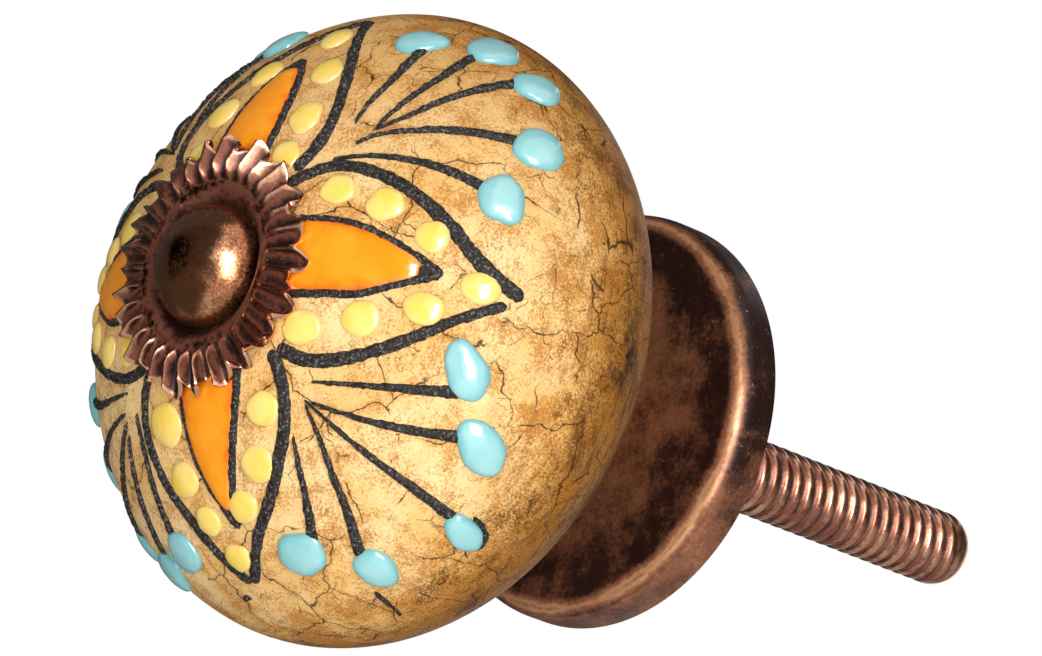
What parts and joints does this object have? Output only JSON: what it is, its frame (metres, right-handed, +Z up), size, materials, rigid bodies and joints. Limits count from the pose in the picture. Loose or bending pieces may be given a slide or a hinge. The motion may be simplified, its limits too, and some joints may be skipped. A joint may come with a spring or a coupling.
{
  "type": "cabinet knob",
  "caption": "Round glazed ceramic cabinet knob with raised enamel flower decoration, fluted copper flower washer, round copper base and a long threaded stud that passes through a drawer front.",
  "frame": {"origin": "centre of the plane where the base sits on the cabinet front, on the stud's axis", "axes": "+Y along the stud, into the cabinet; the painted front faces -Y; +Z up"},
  "size_m": [0.038, 0.0694, 0.038],
  "materials": {
    "crackled_glaze": "satin crackled tan glaze with brown speckle",
    "antique_copper": "dark antique copper, brighter on the edges",
    "orange_enamel": "glossy raised enamel",
    "yellow_enamel": "glossy raised enamel",
    "turquoise_enamel": "glossy raised enamel"
  },
  "bodies": {
    "root": {"ceramic_knob": "crackled_glaze", "flower_washer": "antique_copper", "domed_bolt": "antique_copper", "base_cup": "antique_copper", "retaining_nut": "antique_copper", "orange_petals": "orange_enamel", "yellow_dots": "yellow_enamel", "turquoise_dots": "turquoise_enamel"}
  },
  "joints": []
}
